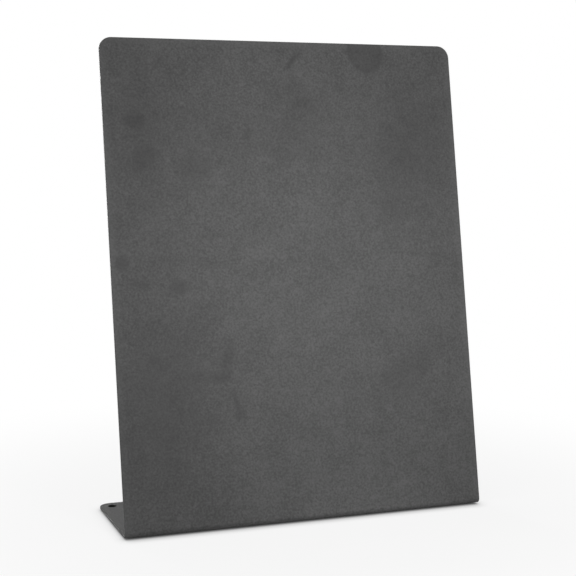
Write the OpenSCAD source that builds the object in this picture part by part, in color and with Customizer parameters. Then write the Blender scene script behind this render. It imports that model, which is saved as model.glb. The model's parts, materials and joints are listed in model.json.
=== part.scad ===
// Free-standing magnetic memo board: one bent steel sheet, a leaning panel with a foot folded back
// under it, on four stick-on rubber pads. Millimetres. +Z is up, +X is to the right as one faces
// the panel, and +Y points to the rear. The origin is on the table, under the middle of the board.

/* [Board] */
// Width of the sheet, side to side
board_w = 300; // [200:1:400]
// Height of the panel along its slope, from the sharp corner of the fold to the top edge
panel_l = 385; // [250:1:500]
// Depth of the foot, from the sharp corner of the fold to its rear edge
foot_l = 98; // [75:1:160]
// Lean of the panel back from upright, in degrees
lean = 10.7; // [5:0.1:15]
// Thickness of the steel sheet
sheet_t = 2; // [1:0.1:3]
// Inside radius of the fold
fold_r = 1.8; // [1:0.1:6]
// Radius of the sheet's four corners
corner_r = 10; // [4:0.5:20]

/* [Fixing holes] */
// Diameter of the two holes in the foot
hole_d = 6.6; // [4:0.1:9]
// Distance of each hole's centre from the side edge and the rear edge of the foot
hole_inset = 10; // [8:0.5:20]

/* [Pads] */
// Diameter of each rubber pad and of the adhesive disc above it
pad_d = 12; // [8:0.5:20]
// Thickness of each rubber pad
pad_t = 1; // [0.5:0.1:3]
// Thickness of each adhesive disc
adhesive_t = 0.2; // [0.1:0.05:0.5]
// Room left between each hole and the pad beside it
hole_gap = 4; // [2:0.5:20]
// Room left between the fold and the front pads
fold_gap = 3; // [1:0.5:20]
// Room left between the rear edge of the foot and the rear pads
rear_gap = 4; // [1:0.5:20]

/* [Hidden] */
// Smoothness of the round shapes
$fn = 96;

// The sheet turns through this angle at the fold, and leaves each flat this far from its sharp corner
fold_turn = 90 + lean;
fold_outer_r = fold_r + sheet_t;
fold_setback = fold_outer_r * tan(fold_turn / 2);
panel_flat = panel_l - fold_setback;
foot_flat = foot_l - fold_setback;

// A cutting shape reaches this far past what it cuts
cut_over = sheet_t;
cut_w = board_w + 2 * cut_over;
cut_r = fold_outer_r + cut_over;

// How far the sheet reaches to the front and the rear of the fold's axis
reach_front = fold_outer_r;
reach_rear = max(foot_flat, panel_flat * sin(lean) - fold_r * cos(lean));

// The fold's axis is placed so that the sheet's depth is centred and its foot lies on the pads
foot_z = pad_t + adhesive_t;
fold_y = (reach_front - reach_rear) / 2;
fold_z = foot_z + fold_outer_r;

// The holes, measured from the fold's axis
hole_x = board_w / 2 - hole_inset;
hole_y = foot_flat - hole_inset;

// The pads stand clear of the holes, the fold and the rear edge
pad_x = hole_x - hole_d / 2 - hole_gap - pad_d / 2;
front_pad_y = fold_y + fold_gap + pad_d / 2;
rear_pad_y = fold_y + foot_flat - rear_gap - pad_d / 2;

// What is cut off a square corner at the origin to round it, where the sheet lies below and to the left
module corner_waste() {
    translate([-corner_r, -corner_r])
        difference() {
            square(corner_r + cut_over);
            circle(corner_r);
        }
}

// Outline of a flat that starts at the fold (y = 0), with its two far corners rounded
module flat_outline(length) {
    difference() {
        translate([-board_w / 2, 0])
            square([board_w, length]);
        for (side = [0, 1])
            mirror([side, 0])
                translate([board_w / 2, length])
                    corner_waste();
    }
}

// A flat of the sheet, level under the fold's axis. Its children are cut out of it.
module flat(length) {
    translate([0, 0, -fold_outer_r])
        linear_extrude(sheet_t)
            difference() {
                flat_outline(length);
                children();
            }
}

// The two holes near the rear corners of the foot
module foot_holes() {
    for (side = [-1, 1])
        translate([side * hole_x, hole_y])
            circle(d = hole_d);
}

// Turns the foot's flat away from the middle of the fold
module foot_side() {
    rotate([fold_turn / 2, 0, 0])
        children();
}

// Turns the panel's flat end for end, and the other way from the middle of the fold
module panel_side() {
    rotate([-fold_turn / 2, 0, 0])
        rotate([0, 0, 180])
            children();
}

// A round bar along the fold's axis
module fold_bar(r, length) {
    rotate([0, 90, 0])
        cylinder(r = r, h = length, center = true);
}

// The side of the fold's axis that a flat runs out on, where the sheet isn't curved
module flat_room() {
    translate([-cut_w / 2, 0, -cut_r])
        cube([cut_w, cut_r, 2 * cut_r]);
}

// The curved strip between the two flats
module fold() {
    difference() {
        foot_side()
            difference() {
                fold_bar(fold_outer_r, board_w);
                fold_bar(fold_r, cut_w);
                flat_room();
            }
        panel_side()
            flat_room();
    }
}

// The whole sheet, folded evenly about its fold and then turned until its foot is level
module steel_board() {
    color("#545454")
        translate([0, fold_y, fold_z])
            rotate([-fold_turn / 2, 0, 0]) {
                foot_side()
                    flat(foot_flat)
                        foot_holes();
                fold();
                panel_side()
                    flat(panel_flat);
            }
}

// A rubber pad standing on the table
module pad(x, y) {
    color("#242424")
        translate([x, y, 0])
            cylinder(d = pad_d, h = pad_t);
}

// The adhesive disc between a pad and the foot
module adhesive(x, y) {
    color("#c9c4b4")
        translate([x, y, pad_t])
            cylinder(d = pad_d, h = adhesive_t);
}

steel_board();
pad(-pad_x, front_pad_y);  // front_left_pad
pad(pad_x, front_pad_y);  // front_right_pad
pad(-pad_x, rear_pad_y);  // rear_left_pad
pad(pad_x, rear_pad_y);  // rear_right_pad
adhesive(-pad_x, front_pad_y);  // front_left_adhesive
adhesive(pad_x, front_pad_y);  // front_right_adhesive
adhesive(-pad_x, rear_pad_y);  // rear_left_adhesive
adhesive(pad_x, rear_pad_y);  // rear_right_adhesive
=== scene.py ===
"""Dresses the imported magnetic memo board: one folded, powder-coated steel sheet on four stick-on pads.

Lengths are metres and angles are radians unless a name says otherwise. +Z is up, +X is to the right as
one faces the panel and +Y points to the rear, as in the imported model. Every piece is modelled in place.
"""

import json
import logging
import math
from dataclasses import dataclass
from enum import Enum

import bmesh
import bpy
from mathutils import Euler, Matrix, Vector


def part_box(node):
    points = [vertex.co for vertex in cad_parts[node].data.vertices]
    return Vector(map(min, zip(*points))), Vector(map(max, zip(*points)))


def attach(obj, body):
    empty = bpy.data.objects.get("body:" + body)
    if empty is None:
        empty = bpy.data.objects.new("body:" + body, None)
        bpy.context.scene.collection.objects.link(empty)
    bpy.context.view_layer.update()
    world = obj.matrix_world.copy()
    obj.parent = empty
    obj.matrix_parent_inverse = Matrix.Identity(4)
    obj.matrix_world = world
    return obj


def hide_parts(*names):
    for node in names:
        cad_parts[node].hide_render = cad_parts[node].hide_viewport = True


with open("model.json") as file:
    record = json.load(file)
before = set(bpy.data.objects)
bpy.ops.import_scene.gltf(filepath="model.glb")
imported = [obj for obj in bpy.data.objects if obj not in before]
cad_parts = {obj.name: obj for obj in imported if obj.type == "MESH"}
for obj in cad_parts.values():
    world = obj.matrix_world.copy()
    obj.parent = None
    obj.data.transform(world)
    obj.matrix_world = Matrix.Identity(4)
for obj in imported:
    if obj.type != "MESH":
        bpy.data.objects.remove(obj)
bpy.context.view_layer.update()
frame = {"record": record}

MM = 0.001
BODY = "root"
LOG = logging.getLogger("memo_board")

# A mix node repeats its socket names for each kind of data, so its sockets go by number.
MIX_FACTOR = 0
MIX_FLOAT_A = 2
MIX_FLOAT_B = 3
MIX_COLOUR_A = 6
MIX_COLOUR_B = 7
MIX_COLOUR_OUT = 2
# The middle of a noise texture's range, in each channel.
NOISE_MIDDLE = (0.5, 0.5, 0.5)
# How many radians a wave texture's bands turn through in one unit, at a scale of one.
WAVE_RATE = 20.0
# A face lies level where the upright part of its normal is more than this.
LEVEL = 0.999
# Points that lie closer together than this are one.
SAME_POINT = 0.001 * MM


class PadPlace(Enum):
    """The four places under the foot that take a stick-on pad, by the names that the frame gives them."""

    FRONT_LEFT = "front_left"
    FRONT_RIGHT = "front_right"
    REAR_LEFT = "rear_left"
    REAR_RIGHT = "rear_right"


class Touch(Enum):
    """How a mark's edge is drawn: the share of the mark's radius over which its edge fades and wanders. The
    broad painted shade takes the softest.
    """

    PRESSED = 0.2
    DABBED = 0.8
    BRUSHED = 1.0


class Slot(Enum):
    """The record's material slots."""

    POWDER_COAT = "powder_coat"
    RUBBER = "rubber"
    ADHESIVE = "adhesive"


def linear(colour: str) -> tuple[float, float, float, float]:
    """Turns an sRGB hex colour into the linear one that the shaders take.

    Args:
        colour: The colour as #rrggbb.

    Returns:
        Linear red, green and blue, and an alpha of one.
    """
    parts = [int(colour[i : i + 2], 16) / 255 for i in (1, 3, 5)]
    # The curve's numbers are those of the sRGB standard.
    red, green, blue = (c / 12.92 if c <= 0.04045 else ((c + 0.055) / 1.055) ** 2.4 for c in parts)
    return red, green, blue, 1.0


def add_node(
    tree: bpy.types.NodeTree, kind: str, inputs: dict[str | int, object] | None = None, **settings: object
) -> bpy.types.Node:
    """Adds a node with its settings and links.

    Args:
        tree: The node tree that takes the node.
        kind: The node's type.
        inputs: What each input socket gets, by name or number: another node's output, or a value.
        **settings: The node's own properties.

    Returns:
        The new node.
    """
    node = tree.nodes.new(kind)
    for name, value in settings.items():
        setattr(node, name, value)
    for socket, value in (inputs or {}).items():
        if isinstance(value, bpy.types.NodeSocket):
            tree.links.new(value, node.inputs[socket])
        else:
            node.inputs[socket].default_value = value
    return node


def new_material(name: str) -> tuple[bpy.types.Material, bpy.types.NodeTree]:
    """Makes an empty node material.

    Args:
        name: The material's name.

    Returns:
        The material and its node tree.
    """
    material = bpy.data.materials.new(name)
    material.use_nodes = True
    material.node_tree.nodes.clear()
    return material, material.node_tree


def finish_piece(
    bm: bmesh.types.BMesh, node: str, material: bpy.types.Material
) -> bpy.types.Object:
    """Turns a bmesh into a piece of the object, in place of a CAD node.

    Args:
        bm: The modelled shape, which is freed.
        node: The CAD node that the piece stands for.
        material: The piece's finish.

    Returns:
        The new object, riding on the board.
    """
    mesh = bpy.data.meshes.new(f"{node}_shape")
    bm.to_mesh(mesh)
    bm.free()
    mesh.shade_smooth()
    mesh.materials.append(material)
    piece = bpy.data.objects.new(f"{node}_dressed", mesh)
    bpy.context.scene.collection.objects.link(piece)
    piece.modifiers.new("flat_faces_stay_flat", "WEIGHTED_NORMAL")
    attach(piece, BODY)
    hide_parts(node)
    return piece


def sharp_edges(bm: bmesh.types.BMesh, least_degrees: float = 60.0) -> list[bmesh.types.BMEdge]:
    """Lists the edges where two faces meet at a sharp angle.

    Args:
        bm: The shape.
        least_degrees: The angle between the faces' normals from which an edge is sharp.

    Returns:
        The sharp edges.
    """
    return [e for e in bm.edges if e.is_manifold and e.calc_face_angle() > math.radians(least_degrees)]


@dataclass(frozen=True)
class FingerMarkAndShade:
    """A faint dark spot on the panel's front: where it is, its size, and how much it darkens the coat.

    Most spots are greasy finger marks; the broad hazes are painted shade. Across and up are measured on the
    panel, from the middle of its width and from the fold's sharp corner. The turn is clockwise as one faces
    the panel. A strength below zero lightens the coat again.
    """

    across_mm: float
    up_mm: float
    width_mm: float
    height_mm: float
    strength: float
    touch: Touch = Touch.BRUSHED
    turn_degrees: float = 0.0


@dataclass(frozen=True)
class PowderCoat:
    """Polyester powder coat, sprayed on dry and baked.

    It is matt but not dead: the melted grains leave a fine orange peel, which breaks a lamp's reflection
    into a broad soft sheen, and handling leaves faint darker marks on it. Broad patches of painted shade
    darken the panel's top and left side, and the walls of the holes are painted near black as shade.
    A paler band is drawn along the sheet's sides, top and rear.
    """

    # The peel's hollows and crests, the paler edge band, the finger marks and broad painted shade, and the
    # painted shade on the walls of the holes.
    hollow_colour: str = "#3f3f3f"
    crest_colour: str = "#5a5a5a"
    framed_colour: str = "#636363"
    marked_and_shaded_colour: str = "#161616"
    hole_shade_colour: str = "#0a0a0a"
    roughness: float = 0.6
    marked_roughness: float = 0.5
    # Cured polyester has about 1.5. Its matting agents scatter part of the gloss, so it is matched lower.
    ior: float = 1.36
    # The real peel is about 0.5 mm from crest to crest. It is drawn coarser, so that it shows at all.
    peel_mm: float = 1.65
    peel_detail: float = 2.0
    peel_gain: float = 0.55
    peel_depth_mm: float = 0.04
    # Unevenness of the spray, which is mixed into the peel's tone.
    cloud_mm: float = 28.0
    cloud_detail: float = 4.0
    cloud_gain: float = 0.75
    cloud_share: float = 0.32
    # The stretch of the mixed pattern's range that runs from the hollows' colour to the crests'.
    tone_low: float = 0.36
    tone_high: float = 0.64
    # The band along the sheet's sides, top and rear that is drawn paler, and how much of its paler colour
    # shows there.
    frame_mm: float = 9.0
    frame_strength: float = 0.24
    # The raggedness of the marks' edges, and a reach into the sheet that keeps them off its back.
    mark_edge_mm: float = 9.0
    mark_detail: float = 2.0
    mark_wander: float = 0.7
    mark_depth_mm: float = 1.0

    def material(self, board: "SteelBoard", marks: list[FingerMarkAndShade]) -> bpy.types.Material:
        """Makes the coat for one board.

        Args:
            board: The sheet that is coated, which says where its panel lies.
            marks: The finger marks and the broad patches of painted shade on the panel's front.

        Returns:
            The material.
        """
        material, tree = new_material("fine_textured_powder_coat")
        place = add_node(tree, "ShaderNodeTexCoord").outputs["Object"]
        peel = add_node(
            tree,
            "ShaderNodeTexNoise",
            {
                "Vector": place,
                "Scale": 1 / (self.peel_mm * MM),
                "Detail": self.peel_detail,
                "Roughness": self.peel_gain,
            },
        ).outputs["Fac"]
        cloud = add_node(
            tree,
            "ShaderNodeTexNoise",
            {
                "Vector": place,
                "Scale": 1 / (self.cloud_mm * MM),
                "Detail": self.cloud_detail,
                "Roughness": self.cloud_gain,
            },
        ).outputs["Fac"]
        blotchy = add_node(
            tree, "ShaderNodeMix", {MIX_FACTOR: self.cloud_share, MIX_FLOAT_A: peel, MIX_FLOAT_B: cloud}
        ).outputs[0]
        tone = add_node(
            tree,
            "ShaderNodeMapRange",
            {"Value": blotchy, "From Min": self.tone_low, "From Max": self.tone_high},
        ).outputs["Result"]

        # The edges and the holes are alike on both sides, so they are drawn for the right side alone.
        parts = add_node(tree, "ShaderNodeSeparateXYZ", {0: place}).outputs
        right = add_node(tree, "ShaderNodeMath", {0: parts["X"]}, operation="ABSOLUTE").outputs[0]
        mirrored = add_node(
            tree, "ShaderNodeCombineXYZ", {"X": right, "Y": parts["Y"], "Z": parts["Z"]}
        ).outputs[0]
        grease_and_shade = self.grease_and_shade(tree, place, board, marks)

        # Each layer's colour takes over from the one under it where the layer lies.
        colour = linear(self.hollow_colour)
        for layer, layer_colour in (
            (tone, self.crest_colour),
            (self.paler_edge_band(tree, mirrored, board), self.framed_colour),
            # Finger marks, and broad patches of painted shade, darken the coat here.
            (grease_and_shade, self.marked_and_shaded_colour),
            # The walls of the holes are painted near black as shade.
            (self.hole_shade(tree, mirrored, board), self.hole_shade_colour),
        ):
            colour = add_node(
                tree,
                "ShaderNodeMix",
                {MIX_FACTOR: layer, MIX_COLOUR_A: colour, MIX_COLOUR_B: linear(layer_colour)},
                data_type="RGBA",
            ).outputs[MIX_COLOUR_OUT]
        roughness = add_node(
            tree,
            "ShaderNodeMix",
            {MIX_FACTOR: grease_and_shade, MIX_FLOAT_A: self.roughness, MIX_FLOAT_B: self.marked_roughness},
        ).outputs[0]
        bump = add_node(
            tree, "ShaderNodeBump", {"Height": peel, "Distance": self.peel_depth_mm * MM, "Strength": 1.0}
        ).outputs["Normal"]
        shader = add_node(
            tree,
            "ShaderNodeBsdfPrincipled",
            {"Base Color": colour, "Roughness": roughness, "IOR": self.ior, "Normal": bump},
        ).outputs[0]
        add_node(tree, "ShaderNodeOutputMaterial", {"Surface": shader})
        return material

    def paler_edge_band(
        self, tree: bpy.types.NodeTree, mirrored: bpy.types.NodeSocket, board: "SteelBoard"
    ) -> bpy.types.NodeSocket:
        """Finds a band along the sheet's sides, top and rear, where the coat is drawn paler.

        Args:
            tree: The material's node tree.
            mirrored: The coordinates on the piece, with its left side mirrored to the right.
            board: The sheet that is coated.

        Returns:
            How much paler the coat is, from 0 to the frame's strength.
        """
        top = board.on_panel(0, board.panel_length).dot(board.up_slope)
        reach = self.frame_mm * MM
        nearest: float | bpy.types.NodeSocket = reach
        for outwards, edge in (
            (Vector((1, 0, 0)), board.high.x),
            (Vector((0, 1, 0)), board.high.y),
            (board.up_slope, top),
        ):
            along = add_node(
                tree, "ShaderNodeVectorMath", {0: mirrored, 1: outwards}, operation="DOT_PRODUCT"
            ).outputs["Value"]
            inside = add_node(tree, "ShaderNodeMath", {0: edge, 1: along}, operation="SUBTRACT").outputs[0]
            nearest = add_node(
                tree, "ShaderNodeMath", {0: nearest, 1: inside}, operation="MINIMUM"
            ).outputs[0]
        return add_node(
            tree,
            "ShaderNodeMapRange",
            {"Value": nearest, "From Max": reach, "To Min": self.frame_strength, "To Max": 0.0},
            interpolation_type="SMOOTHERSTEP",
        ).outputs["Result"]

    def hole_shade(
        self, tree: bpy.types.NodeTree, mirrored: bpy.types.NodeSocket, board: "SteelBoard"
    ) -> bpy.types.NodeSocket:
        """Finds the walls of the holes, which are painted near black as shade for the dark inside of each
        hole.

        Args:
            tree: The material's node tree.
            mirrored: The coordinates on the piece, with its left side mirrored to the right.
            board: The sheet that is coated.

        Returns:
            One on a hole's wall, and zero from the outside of its rim on.
        """
        plan = add_node(
            tree, "ShaderNodeVectorMath", {0: mirrored, 1: (1.0, 1.0, 0.0)}, operation="MULTIPLY"
        ).outputs[0]
        hole = (board.hole_x, board.hole_y, 0.0)
        from_axis = add_node(
            tree, "ShaderNodeVectorMath", {0: plan, 1: hole}, operation="DISTANCE"
        ).outputs["Value"]
        return add_node(
            tree,
            "ShaderNodeMapRange",
            {
                "Value": from_axis,
                "From Min": board.hole_radius,
                "From Max": board.hole_radius + board.edge_radius,
                "To Min": 1.0,
                "To Max": 0.0,
            },
        ).outputs["Result"]

    def grease_and_shade(
        self,
        tree: bpy.types.NodeTree,
        place: bpy.types.NodeSocket,
        board: "SteelBoard",
        marks: list[FingerMarkAndShade],
    ) -> float | bpy.types.NodeSocket:
        """Draws the finger marks and the broad patches of painted shade, each a soft spot with a wandering
        edge.

        Args:
            tree: The material's node tree.
            place: The coordinates on the piece.
            board: The sheet that carries the marks.
            marks: The marks to draw.

        Returns:
            How much grease and painted shade darken the coat: the sum of the marks, which a mix node's
            factor keeps between 0 and 1.
        """
        noise = add_node(
            tree,
            "ShaderNodeTexNoise",
            {"Vector": place, "Scale": 1 / (self.mark_edge_mm * MM), "Detail": self.mark_detail},
        ).outputs["Color"]
        wander = add_node(
            tree, "ShaderNodeVectorMath", {0: noise, 1: NOISE_MIDDLE}, operation="SUBTRACT"
        ).outputs[0]
        total: float | bpy.types.NodeSocket = 0.0
        for mark in marks:
            reach = self.mark_wander * mark.touch.value
            spot = add_node(
                tree,
                "ShaderNodeMapping",
                {
                    "Vector": place,
                    "Location": board.on_panel(mark.across_mm * MM, mark.up_mm * MM),
                    "Rotation": board.panel_turn(math.radians(mark.turn_degrees)),
                    "Scale": (mark.width_mm * MM / 2, mark.height_mm * MM / 2, self.mark_depth_mm * MM),
                },
                vector_type="TEXTURE",
            ).outputs[0]
            ragged = add_node(
                tree,
                "ShaderNodeVectorMath",
                {0: wander, 1: (reach, reach, 0.0), 2: spot},
                operation="MULTIPLY_ADD",
            ).outputs[0]
            inside = add_node(
                tree, "ShaderNodeTexGradient", {"Vector": ragged}, gradient_type="SPHERICAL"
            ).outputs["Fac"]
            dark = add_node(
                tree,
                "ShaderNodeMapRange",
                {"Value": inside, "From Max": mark.touch.value, "To Max": mark.strength},
                interpolation_type="SMOOTHSTEP",
            ).outputs["Result"]
            total = add_node(tree, "ShaderNodeMath", {0: total, 1: dark}, operation="ADD").outputs[0]
        return total


@dataclass(frozen=True)
class NonSlipRubber:
    """Black rubber sheet, cured against cloth and punched out: dull, with the weave's mark in its face."""

    thread_colour: str = "#262626"
    gap_colour: str = "#1b1b1b"
    roughness: float = 0.8
    ior: float = 1.5
    thread_mm: float = 0.9
    weave_depth_mm: float = 0.05

    def material(self) -> bpy.types.Material:
        """Makes the rubber.

        Returns:
            The material.
        """
        material, tree = new_material("cloth_marked_black_rubber")
        place = add_node(tree, "ShaderNodeTexCoord").outputs["Object"]
        threads = [
            add_node(
                tree,
                "ShaderNodeTexWave",
                {"Vector": place, "Scale": math.tau / (WAVE_RATE * self.thread_mm * MM)},
                bands_direction=direction,
            ).outputs["Fac"]
            for direction in ("X", "Y")
        ]
        weave = add_node(
            tree, "ShaderNodeMath", {0: threads[0], 1: threads[1]}, operation="MULTIPLY"
        ).outputs[0]
        colour = add_node(
            tree,
            "ShaderNodeMix",
            {
                MIX_FACTOR: weave,
                MIX_COLOUR_A: linear(self.gap_colour),
                MIX_COLOUR_B: linear(self.thread_colour),
            },
            data_type="RGBA",
        ).outputs[MIX_COLOUR_OUT]
        bump = add_node(
            tree, "ShaderNodeBump", {"Height": weave, "Distance": self.weave_depth_mm * MM, "Strength": 1.0}
        ).outputs["Normal"]
        shader = add_node(
            tree,
            "ShaderNodeBsdfPrincipled",
            {"Base Color": colour, "Roughness": self.roughness, "IOR": self.ior, "Normal": bump},
        ).outputs[0]
        add_node(tree, "ShaderNodeOutputMaterial", {"Surface": shader})
        return material


@dataclass(frozen=True)
class FoamTape:
    """Double-sided acrylic foam tape, cast and punched out: cream, with open cells along its cut edge."""

    cell_colour: str = "#b4ad99"
    wall_colour: str = "#d3cebf"
    roughness: float = 0.7
    ior: float = 1.47
    cell_mm: float = 0.15

    def material(self) -> bpy.types.Material:
        """Makes the tape.

        Returns:
            The material.
        """
        material, tree = new_material("cream_acrylic_foam_tape")
        place = add_node(tree, "ShaderNodeTexCoord").outputs["Object"]
        cells = add_node(
            tree, "ShaderNodeTexVoronoi", {"Vector": place, "Scale": 1 / (self.cell_mm * MM)}
        ).outputs["Distance"]
        colour = add_node(
            tree,
            "ShaderNodeMix",
            {
                MIX_FACTOR: cells,
                MIX_COLOUR_A: linear(self.cell_colour),
                MIX_COLOUR_B: linear(self.wall_colour),
            },
            data_type="RGBA",
        ).outputs[MIX_COLOUR_OUT]
        shader = add_node(
            tree,
            "ShaderNodeBsdfPrincipled",
            {"Base Color": colour, "Roughness": self.roughness, "IOR": self.ior},
        ).outputs[0]
        add_node(tree, "ShaderNodeOutputMaterial", {"Surface": shader})
        return material


@dataclass(frozen=True)
class SteelBoard:
    """The bent sheet: a panel that leans back, the fold at its bottom and the foot behind it.

    The sheet is modelled as its outer skin, from the foot's rear edge along its underside, round the fold
    and up the panel's front, and is then thickened inwards.
    """

    node: str
    low: Vector
    high: Vector
    lean: float
    hole_x: float
    hole_y: float
    hole_radius: float
    sheet_t: float = 2 * MM
    fold_radius: float = 1.8 * MM
    corner_radius: float = 10 * MM
    edge_radius: float = 0.4 * MM
    edge_steps: int = 3
    fold_steps: int = 24
    corner_steps: int = 12

    @classmethod
    def from_frame(cls, node: str, holes: str, face: str) -> "SteelBoard":
        """Takes the board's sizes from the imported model.

        Args:
            node: The sheet's CAD node.
            holes: The mount that gives the fixing holes.
            face: The mount that gives the panel's front.

        Returns:
            The board.
        """
        low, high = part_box(node)
        mounts = {mount["name"]: mount for mount in frame["record"]["mounts"]}
        return cls(
            node=node,
            low=low,
            high=high,
            lean=math.asin(mounts[face]["axis"][2]),
            hole_x=mounts[holes]["dims"]["spacing_x_mm"] * MM / 2,
            hole_y=mounts[holes]["pos_m"][1],
            hole_radius=mounts[holes]["dims"]["hole_r_mm"] * MM,
        )

    @property
    def outer_radius(self) -> float:
        """The fold's outside radius."""
        return self.fold_radius + self.sheet_t

    @property
    def fold_axis(self) -> Vector:
        """A point on the fold's axis, at the middle of the width."""
        return Vector((0, self.low.y + self.outer_radius, self.low.z + self.outer_radius))

    @property
    def fold_turn(self) -> float:
        """How far the sheet turns at the fold."""
        return math.pi / 2 + self.lean

    @property
    def up_slope(self) -> Vector:
        """The direction up the panel."""
        return Vector((0, math.sin(self.lean), math.cos(self.lean)))

    @property
    def out_of_panel(self) -> Vector:
        """The direction straight out of the panel's front."""
        return Vector((0, -math.cos(self.lean), math.sin(self.lean)))

    @property
    def panel_flat(self) -> float:
        """The height of the panel's flat along its slope."""
        rise = self.high.z - self.fold_axis.z - self.outer_radius * math.sin(self.lean)
        return rise / math.cos(self.lean)

    @property
    def setback(self) -> float:
        """How far each flat starts from the fold's sharp corner."""
        return self.outer_radius * math.tan(self.fold_turn / 2)

    @property
    def panel_length(self) -> float:
        """The height of the whole panel along its slope, from the fold's sharp corner."""
        return self.panel_flat + self.setback

    def on_panel(self, across: float, up: float) -> Vector:
        """Finds a point on the panel's front.

        Args:
            across: The distance to the right of the middle.
            up: The distance up the slope from the fold's sharp corner.

        Returns:
            The point.
        """
        corner = self.fold_axis - Vector((0, self.setback, self.outer_radius))
        return corner + Vector((across, 0, 0)) + self.up_slope * up

    def panel_turn(self, turn: float) -> Euler:
        """Turns a pattern drawn in X and Y so that it lies on the panel's front.

        Args:
            turn: How far the pattern is turned clockwise, as one faces the panel.

        Returns:
            The rotation.
        """
        stand = Matrix.Rotation(math.pi / 2 - self.lean, 3, "X")
        return (stand @ Matrix.Rotation(-turn, 3, "Z")).to_euler()

    def skin(self) -> bmesh.types.BMesh:
        """Models the outer skin: the foot, the fold and the panel, with round corners but no holes yet.

        Returns:
            The open skin.
        """
        bm = bmesh.new()
        width = self.high.x - self.low.x
        foot_flat = self.high.y - self.fold_axis.y
        middle = Vector((0, self.high.y - foot_flat / 2, self.low.z))
        # The foot's flat starts as a square one unit wide.
        foot = bmesh.ops.create_grid(bm, x_segments=1, y_segments=1, size=0.5)["verts"]
        bmesh.ops.scale(bm, vec=(width, foot_flat, 1), verts=foot)
        bmesh.ops.translate(bm, vec=middle, verts=foot)
        rear_corners = [vert for vert in foot if vert.co.y > middle.y]

        front = min(bm.edges, key=lambda edge: sum(vert.co.y for vert in edge.verts))
        bent = bmesh.ops.spin(
            bm,
            geom=[front, *front.verts],
            cent=self.fold_axis,
            axis=(1, 0, 0),
            angle=-self.fold_turn,
            steps=self.fold_steps,
        )["geom_last"]
        last = [item for item in bent if isinstance(item, bmesh.types.BMEdge)]
        risen = bmesh.ops.extrude_edge_only(bm, edges=last)["geom"]
        top_corners = [item for item in risen if isinstance(item, bmesh.types.BMVert)]
        bmesh.ops.translate(bm, vec=self.up_slope * self.panel_flat, verts=top_corners)

        bmesh.ops.bevel(
            bm,
            geom=rear_corners + top_corners,
            offset=self.corner_radius,
            affect="VERTICES",
            segments=self.corner_steps,
            profile=0.5,
            material=-1,
        )
        return bm

    def drill(self, bm: bmesh.types.BMesh) -> None:
        """Makes the two holes in the foot.

        A square cell is marked off round each hole, out to the foot's edges, and its inset rim is drawn in
        to the hole's circle.

        Args:
            bm: The skin, which is changed.
        """
        inset_x = self.high.x - self.hole_x
        inset_y = self.high.y - self.hole_y
        cell_y = self.high.y - 2 * inset_y
        for plane, normal in (
            ((self.hole_x - inset_x, 0, 0), (1, 0, 0)),
            ((inset_x - self.hole_x, 0, 0), (1, 0, 0)),
            ((0, cell_y, 0), (0, 1, 0)),
        ):
            foot = [face for face in bm.faces if abs(face.normal.z) > LEVEL]
            parts = dict.fromkeys(item for face in foot for item in (face, *face.edges, *face.verts))
            bmesh.ops.bisect_plane(bm, geom=list(parts), plane_co=plane, plane_no=normal)
        arc_step = math.pi / 2 * self.corner_radius / self.corner_steps
        for side in (-1, 1):
            centre = Vector((side * self.hole_x, self.hole_y, self.low.z))
            cell = min(bm.faces, key=lambda face: (face.calc_center_bounds() - centre).length)
            for edge in list(cell.edges):
                cuts = round(edge.calc_length() / arc_step) - 1
                if cuts > 0:
                    bmesh.ops.subdivide_edges(bm, edges=[edge], cuts=cuts)
            bmesh.ops.inset_individual(bm, faces=[cell], thickness=self.edge_radius)
            for vert in cell.verts:
                vert.co = centre + (vert.co - centre).normalized() * self.hole_radius
            bmesh.ops.delete(bm, geom=[cell], context="FACES_ONLY")

    def build(self) -> bmesh.types.BMesh:
        """Models the whole sheet, with its thickness and rounded edges.

        Returns:
            The closed sheet.
        """
        bm = self.skin()
        self.drill(bm)
        bmesh.ops.remove_doubles(bm, verts=bm.verts, dist=SAME_POINT)
        bmesh.ops.recalc_face_normals(bm, faces=bm.faces)
        panel = max(bm.faces, key=lambda face: face.calc_area())
        if panel.normal.dot(self.out_of_panel) < 0:
            bmesh.ops.reverse_faces(bm, faces=bm.faces)
        bmesh.ops.solidify(bm, geom=bm.faces[:], thickness=self.sheet_t)
        bmesh.ops.bevel(
            bm,
            geom=sharp_edges(bm),
            offset=self.edge_radius,
            affect="EDGES",
            segments=self.edge_steps,
            profile=0.5,
            material=-1,
        )
        return bm

    def dress(self, coat: PowderCoat, marks: list[FingerMarkAndShade]) -> bpy.types.Object:
        """Builds the sheet and coats it.

        Args:
            coat: The finish.
            marks: The finger marks and the broad patches of painted shade on the panel.

        Returns:
            The finished piece.
        """
        return finish_piece(self.build(), self.node, coat.material(self, marks))


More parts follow.
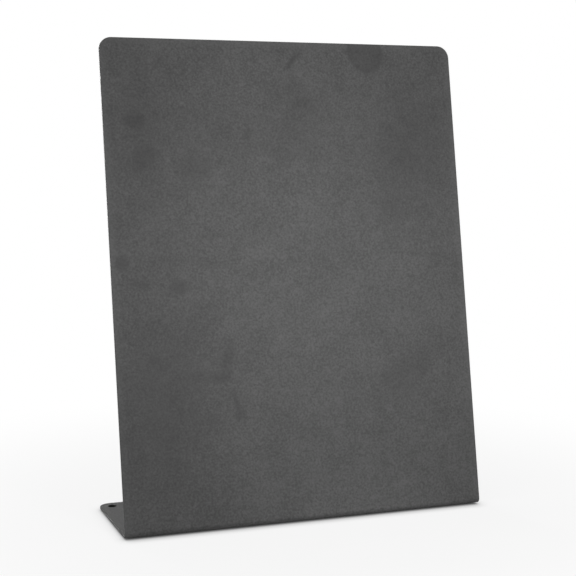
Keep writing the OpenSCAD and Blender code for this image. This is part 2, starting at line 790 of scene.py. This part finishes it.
@dataclass(frozen=True)
class StickOnPad:
    """A punched rubber disc, held under the foot by a disc of foam tape."""

    place: PadPlace
    rim_radius: float = 0.2 * MM
    tape_inset: float = 0.1 * MM
    tape_rim_radius: float = 0.05 * MM
    round_steps: int = 72
    rim_steps: int = 3

    def disc(self, node: str, inset: float, rim_radius: float) -> bmesh.types.BMesh:
        """Models a disc with rounded rims.

        Args:
            node: The CAD node that gives its place and size.
            inset: How far its side lies inside the node's.
            rim_radius: The radius of its rims.

        Returns:
            The closed disc.
        """
        low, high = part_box(node)
        centre = (low + high) / 2
        bm = bmesh.new()
        bmesh.ops.create_circle(
            bm,
            cap_ends=True,
            segments=self.round_steps,
            radius=(high.x - low.x) / 2 - inset,
            matrix=Matrix.Translation((centre.x, centre.y, low.z)),
        )
        raised = bmesh.ops.extrude_face_region(bm, geom=bm.faces[:])["geom"]
        top = [item for item in raised if isinstance(item, bmesh.types.BMVert)]
        bmesh.ops.translate(bm, vec=(0, 0, high.z - low.z), verts=top)
        bmesh.ops.recalc_face_normals(bm, faces=bm.faces)
        bmesh.ops.bevel(
            bm,
            geom=sharp_edges(bm),
            offset=rim_radius,
            affect="EDGES",
            segments=self.rim_steps,
            profile=0.5,
            material=-1,
        )
        return bm

    def dress(self, rubber: bpy.types.Material, tape: bpy.types.Material) -> list[bpy.types.Object]:
        """Builds the pad and its tape.

        Args:
            rubber: The pad's material.
            tape: The tape's material.

        Returns:
            The two finished pieces.
        """
        pad_node = f"{self.place.value}_pad"
        pad = self.disc(pad_node, 0.0, self.rim_radius)
        tape_node = f"{self.place.value}_adhesive"
        tape_disc = self.disc(tape_node, self.tape_inset, self.tape_rim_radius)
        return [
            finish_piece(pad, pad_node, rubber),
            finish_piece(tape_disc, tape_node, tape),
        ]


@dataclass(frozen=True)
class PhotoCamera:
    """The camera, at the photograph's viewing angle."""

    place: tuple[float, float, float] = (-0.3709, -1.0034, 0.3014)
    right_degrees: float = 20.18
    down_degrees: float = 6.41
    roll_degrees: float = -0.12
    lens_mm: float = 83.0
    sensor_mm: float = 36.0

    def build(self) -> None:
        """Makes the camera the scene's own."""
        data = bpy.data.cameras.new("photo_camera")
        data.lens = self.lens_mm
        data.sensor_width = self.sensor_mm
        camera = bpy.data.objects.new("photo_camera", data)
        camera.location = self.place
        turns = (90 - self.down_degrees, self.roll_degrees, -self.right_degrees)
        camera.rotation_euler = [math.radians(turn) for turn in turns]
        bpy.context.scene.collection.objects.link(camera)
        bpy.context.scene.camera = camera


@dataclass(frozen=True)
class Softbox:
    """A square lamp with an even white front, and a grid on it where its light is kept narrow."""

    name: str
    place: tuple[float, float, float]
    aim: tuple[float, float, float]
    size: float
    watts: float
    spread_degrees: float = 180.0

    def build(self) -> None:
        """Hangs the lamp and turns it to what it lights."""
        data = bpy.data.lights.new(self.name, "AREA")
        data.size = self.size
        data.energy = self.watts
        data.spread = math.radians(self.spread_degrees)
        lamp = bpy.data.objects.new(self.name, data)
        lamp.location = self.place
        beam = Vector(self.aim) - Vector(self.place)
        lamp.rotation_euler = beam.to_track_quat("-Z", "Y").to_euler()
        bpy.context.scene.collection.objects.link(lamp)


@dataclass(frozen=True)
class Studio:
    """A white paper floor that runs out into a white surround, lit softly from all round."""

    softboxes: tuple[Softbox, ...]
    surround: float = 0.22
    surround_colour: str = "#ffffff"
    paper_seen: str = "#ffffff"
    paper_bounce: str = "#eeeeee"
    floor_size: float = 12.0
    # Where the paper is seen, plain white covers this share of its shading up to the near distance, and all
    # of it from the far one on.
    paper_glow: float = 0.85
    paper_near: float = 0.12
    paper_far: float = 0.5
    # How far the painted contact shade reaches: an AO node darkens the paper's colour and its white within
    # this distance of the object.
    contact: float = 0.011

    def seen(self, tree: bpy.types.NodeTree) -> bpy.types.NodeSocket:
        """Finds the rays that show a surface, straight on, in gloss or through glass, and don't light it.

        Args:
            tree: The node tree that asks.

        Returns:
            One for such a ray, or else zero.
        """
        ray = add_node(tree, "ShaderNodeLightPath").outputs
        gloss = add_node(
            tree,
            "ShaderNodeMath",
            {0: ray["Is Glossy Ray"], 1: ray["Is Transmission Ray"]},
            operation="MAXIMUM",
        ).outputs[0]
        return add_node(
            tree, "ShaderNodeMath", {0: ray["Is Camera Ray"], 1: gloss}, operation="MAXIMUM"
        ).outputs[0]

    def build_world(self) -> None:
        """Makes the surround: white where it is seen, and a plain soft light elsewhere."""
        world = bpy.data.worlds.new("white_surround")
        world.use_nodes = True
        tree = world.node_tree
        tree.nodes.clear()
        strength = add_node(
            tree,
            "ShaderNodeMix",
            {MIX_FACTOR: self.seen(tree), MIX_FLOAT_A: self.surround, MIX_FLOAT_B: 1.0},
        ).outputs[0]
        light = add_node(
            tree, "ShaderNodeBackground", {"Color": linear(self.surround_colour), "Strength": strength}
        ).outputs[0]
        add_node(tree, "ShaderNodeOutputWorld", {"Surface": light})
        bpy.context.scene.world = world

    def build_floor(self) -> None:
        """Lays the paper floor, which isn't part of the object."""
        bm = bmesh.new()
        bmesh.ops.create_grid(bm, x_segments=1, y_segments=1, size=self.floor_size / 2)
        mesh = bpy.data.meshes.new("paper_floor")
        bm.to_mesh(mesh)
        bm.free()
        mesh.materials.append(self.paper())
        floor = bpy.data.objects.new("paper_floor", mesh)
        bpy.context.scene.collection.objects.link(floor)

    def paper(self) -> bpy.types.Material:
        """Makes the floor's paper: it takes the object's shadow, and further off it runs into white.

        An AO node paints contact shade on it close to the object.

        Returns:
            The material.
        """
        material, tree = new_material("white_paper")
        seen = self.seen(tree)
        colour = add_node(
            tree,
            "ShaderNodeMix",
            {
                MIX_FACTOR: seen,
                MIX_COLOUR_A: linear(self.paper_bounce),
                MIX_COLOUR_B: linear(self.paper_seen),
            },
            data_type="RGBA",
        ).outputs[MIX_COLOUR_OUT]
        # The AO node paints contact shade: it darkens the paper close to the object.
        near = add_node(
            tree, "ShaderNodeAmbientOcclusion", {"Color": colour, "Distance": self.contact}
        ).outputs
        lit = add_node(tree, "ShaderNodeBsdfDiffuse", {"Color": near["Color"]}).outputs[0]
        white = add_node(tree, "ShaderNodeEmission", {"Strength": 1.0}).outputs[0]
        place = add_node(tree, "ShaderNodeTexCoord").outputs["Object"]
        distance = add_node(tree, "ShaderNodeVectorMath", {0: place}, operation="LENGTH").outputs["Value"]
        far = add_node(
            tree,
            "ShaderNodeMapRange",
            {
                "Value": distance,
                "From Min": self.paper_near,
                "From Max": self.paper_far,
                "To Min": self.paper_glow,
            },
            interpolation_type="SMOOTHSTEP",
        ).outputs["Result"]
        glow = add_node(tree, "ShaderNodeMath", {0: far, 1: near["AO"]}, operation="MULTIPLY").outputs[0]
        glow_seen = add_node(tree, "ShaderNodeMath", {0: glow, 1: seen}, operation="MULTIPLY").outputs[0]
        paper = add_node(tree, "ShaderNodeMixShader", {0: glow_seen, 1: lit, 2: white}).outputs[0]
        add_node(tree, "ShaderNodeOutputMaterial", {"Surface": paper})
        return material

    def build(self) -> None:
        """Sets up the surround, the floor and the lamps."""
        bpy.context.scene.view_settings.view_transform = "Standard"
        self.build_world()
        self.build_floor()
        for softbox in self.softboxes:
            softbox.build()


# Each mark's place across and up the panel, and its width and height, are in millimetres.
FINGER_MARKS_AND_SHADE = [
    # A thumb on the top edge, with a spot in it that is rubbed lighter.
    FingerMarkAndShade(73, 378, 35, 40, strength=0.42, touch=Touch.PRESSED, turn_degrees=-16),
    FingerMarkAndShade(70, 370, 18, 16, strength=-0.14),
    # A streak to the left of it, and the smears below.
    FingerMarkAndShade(8, 369, 8, 34, strength=0.55, turn_degrees=42),
    FingerMarkAndShade(15, 334, 46, 16, strength=0.25),
    FingerMarkAndShade(10, 345, 32, 26, strength=0.2),
    FingerMarkAndShade(47, 348, 16, 20, strength=0.2),
    # Fingertips down the left half.
    FingerMarkAndShade(-125, 319, 27, 21, strength=0.3, touch=Touch.DABBED),
    FingerMarkAndShade(-118, 290, 35, 28, strength=0.3, touch=Touch.DABBED),
    FingerMarkAndShade(-78, 279, 42, 40, strength=0.25, touch=Touch.DABBED),
    FingerMarkAndShade(-34, 308, 12, 22, strength=0.2),
    FingerMarkAndShade(-141, 210, 18, 20, strength=0.45, touch=Touch.DABBED),
    FingerMarkAndShade(-64, 229, 44, 9, strength=0.15),
    FingerMarkAndShade(-73, 207, 28, 16, strength=0.2),
    FingerMarkAndShade(-128, 193, 20, 15, strength=0.2),
    FingerMarkAndShade(-97, 189, 24, 20, strength=0.4, touch=Touch.DABBED),
    FingerMarkAndShade(-79, 172, 24, 14, strength=0.15),
    # A hooked rub low on the left, and its tail.
    FingerMarkAndShade(-61, 129, 15, 42, strength=0.22, touch=Touch.DABBED, turn_degrees=12),
    FingerMarkAndShade(-67, 117, 18, 13, strength=0.25, touch=Touch.DABBED),
    FingerMarkAndShade(-121, 133, 14, 16, strength=0.2, touch=Touch.DABBED),
    FingerMarkAndShade(-84, 118, 48, 14, strength=0.15),
    FingerMarkAndShade(-56, 98, 7, 30, strength=0.5, turn_degrees=-12),
    FingerMarkAndShade(-53, 87, 14, 12, strength=0.36, touch=Touch.DABBED),
    # The smears of a hand, high on the right.
    FingerMarkAndShade(101, 291, 32, 38, strength=0.15),
    FingerMarkAndShade(110, 300, 140, 190, strength=0.37),
    FingerMarkAndShade(80, 249, 70, 56, strength=0.2),
    # A slanting darker streak low on the right.
    FingerMarkAndShade(93, 115, 130, 40, strength=0.25, turn_degrees=-37),
    FingerMarkAndShade(73, 108, 18, 14, strength=0.2),
    FingerMarkAndShade(107, 115, 28, 17, strength=0.15),
    FingerMarkAndShade(94, 99, 60, 50, strength=0.2),
    # Broad, faint patches of painted shade over the top and the left side, and a spot in them drawn
    # lighter.
    FingerMarkAndShade(5, 306, 78, 74, strength=0.15),
    FingerMarkAndShade(-71, 300, 62, 84, strength=0.15),
    FingerMarkAndShade(-122, 320, 100, 200, strength=0.32),
    FingerMarkAndShade(-5, 316, 230, 110, strength=0.14),
    FingerMarkAndShade(-115, 220, 120, 140, strength=0.14),
    FingerMarkAndShade(-110, 125, 150, 170, strength=0.35),
    FingerMarkAndShade(-94, 155, 56, 48, strength=-0.1),
    FingerMarkAndShade(-120, 65, 120, 150, strength=0.32),
]

STUDIO = Studio(
    softboxes=(
        # Lays a soft pool of light on the middle of the panel.
        Softbox(
            "front_softbox",
            place=(0.4, -1.4, 0.42),
            aim=(0.01, -0.01, 0.226),
            size=0.45,
            watts=0.44,
            spread_degrees=22,
        ),
        # Grazes the strip just above the fold, below the pool.
        Softbox(
            "low_softbox",
            place=(0.4, -1.4, 0.16),
            aim=(0.045, -0.05, -0.1),
            size=0.06,
            watts=0.034,
            spread_degrees=12,
        ),
        # Lights the foot and the floor softly from above.
        Softbox("overhead_softbox", place=(-0.5, 0.1, 1.8), aim=(0.0, 0.0, 0.0), size=1.2, watts=8.5),
        # Does for the back what the front lamp does for the panel.
        Softbox(
            "rear_softbox",
            place=(-0.4, 1.4, 0.42),
            aim=(0.0, 0.02, 0.26),
            size=0.45,
            watts=0.45,
            spread_degrees=24,
        ),
    )
)


def main() -> None:
    """Builds the studio, the camera and every piece of the board."""
    logging.basicConfig(level=logging.INFO, format="%(name)s: %(message)s")
    STUDIO.build()
    PhotoCamera().build()
    board = SteelBoard.from_frame("steel_board", holes="screw_holes", face="memo_face")
    pieces = [board.dress(PowderCoat(), FINGER_MARKS_AND_SHADE)]
    rubber = NonSlipRubber().material()
    tape = FoamTape().material()
    for place in PadPlace:
        pieces += StickOnPad(place).dress(rubber, tape)
    for piece in pieces:
        LOG.info("%s: %d faces", piece.name, len(piece.data.polygons))


if __name__ == "__main__":
    main()
